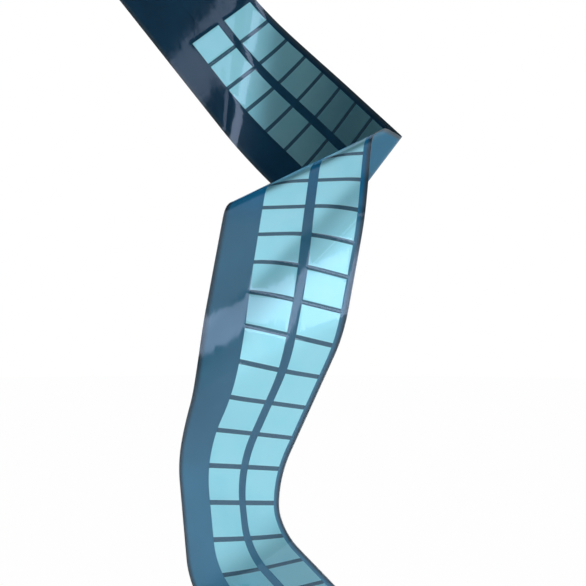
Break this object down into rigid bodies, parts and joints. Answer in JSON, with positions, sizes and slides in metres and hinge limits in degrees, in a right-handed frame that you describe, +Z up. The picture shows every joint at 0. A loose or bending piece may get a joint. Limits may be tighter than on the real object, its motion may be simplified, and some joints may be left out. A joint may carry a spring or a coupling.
{
  "type": "flexible solar sheet",
  "caption": "Long thin flexible solar sheet with two columns of thin-film cells between glossy blue films, hanging in soft folds from its held end.",
  "frame": {"origin": "centre of the held end, in the middle of the laminate's thickness", "axes": "+Z up; the sheet hangs towards -Z, its cells face -Y, and its wide blank margin is on the -X side"},
  "size_m": [0.2421, 0.3172, 0.5385],
  "materials": {
    "film": "glossy translucent blue plastic film",
    "adhesive": "clear laminating adhesive",
    "blue_adhesive": "blue-pigmented laminating adhesive",
    "cell": "smooth pale cyan thin-film cell on metal foil",
    "link_bar": "dark blue printed conductor on foil",
    "terminal_foil": "bright tinned foil"
  },
  "bodies": {
    "lead_run": {"lead_front_film": "film", "lead_front_adhesive": "adhesive", "lead_link_bars": "link_bar", "lead_back_adhesive": "blue_adhesive", "lead_back_film": "film", "positive_terminal_foil": "terminal_foil", "negative_terminal_foil": "terminal_foil", "cells_row_01": "cell", "cells_row_02": "cell", "cells_row_03": "cell", "cells_row_04": "cell", "cells_row_05": "cell", "cells_row_06": "cell", "cells_row_07": "cell", "cells_row_08": "cell", "cells_row_09": "cell"},
    "draped_run": {"drape_front_film": "film", "drape_front_adhesive": "adhesive", "drape_link_bars": "link_bar", "drape_back_adhesive": "blue_adhesive", "drape_back_film": "film", "cells_row_10": "cell", "cells_row_11": "cell", "cells_row_12": "cell", "cells_row_13": "cell", "cells_row_14": "cell", "cells_row_15": "cell", "cells_row_16": "cell", "cells_row_17": "cell", "cells_row_18": "cell", "cells_row_19": "cell", "cells_row_20": "cell", "cells_row_21": "cell"},
    "tail_run": {"tail_front_film": "film", "tail_front_adhesive": "adhesive", "tail_link_bars": "link_bar", "tail_back_adhesive": "blue_adhesive", "tail_back_film": "film", "column_cross_link": "terminal_foil", "cells_row_22": "cell", "cells_row_23": "cell", "cells_row_24": "cell", "cells_row_25": "cell", "cells_row_26": "cell", "cells_row_27": "cell"}
  },
  "joints": [
    {"name": "fold_flex", "type": "hinge", "parent": "lead_run", "child": "draped_run", "pos_m": [0.17383, -0.06483, -0.20835], "axis": [0.5842, -0.2603, 0.7687], "range_deg": [-25, 35], "stiffness_Nm_per_rad": 3},
    {"name": "tail_flex", "type": "hinge", "parent": "draped_run", "child": "tail_run", "pos_m": [0.09067, -0.18579, -0.38331], "axis": [0.7154, 0.6806, -0.1582], "range_deg": [-25, 25], "stiffness_Nm_per_rad": 1}
  ]
}
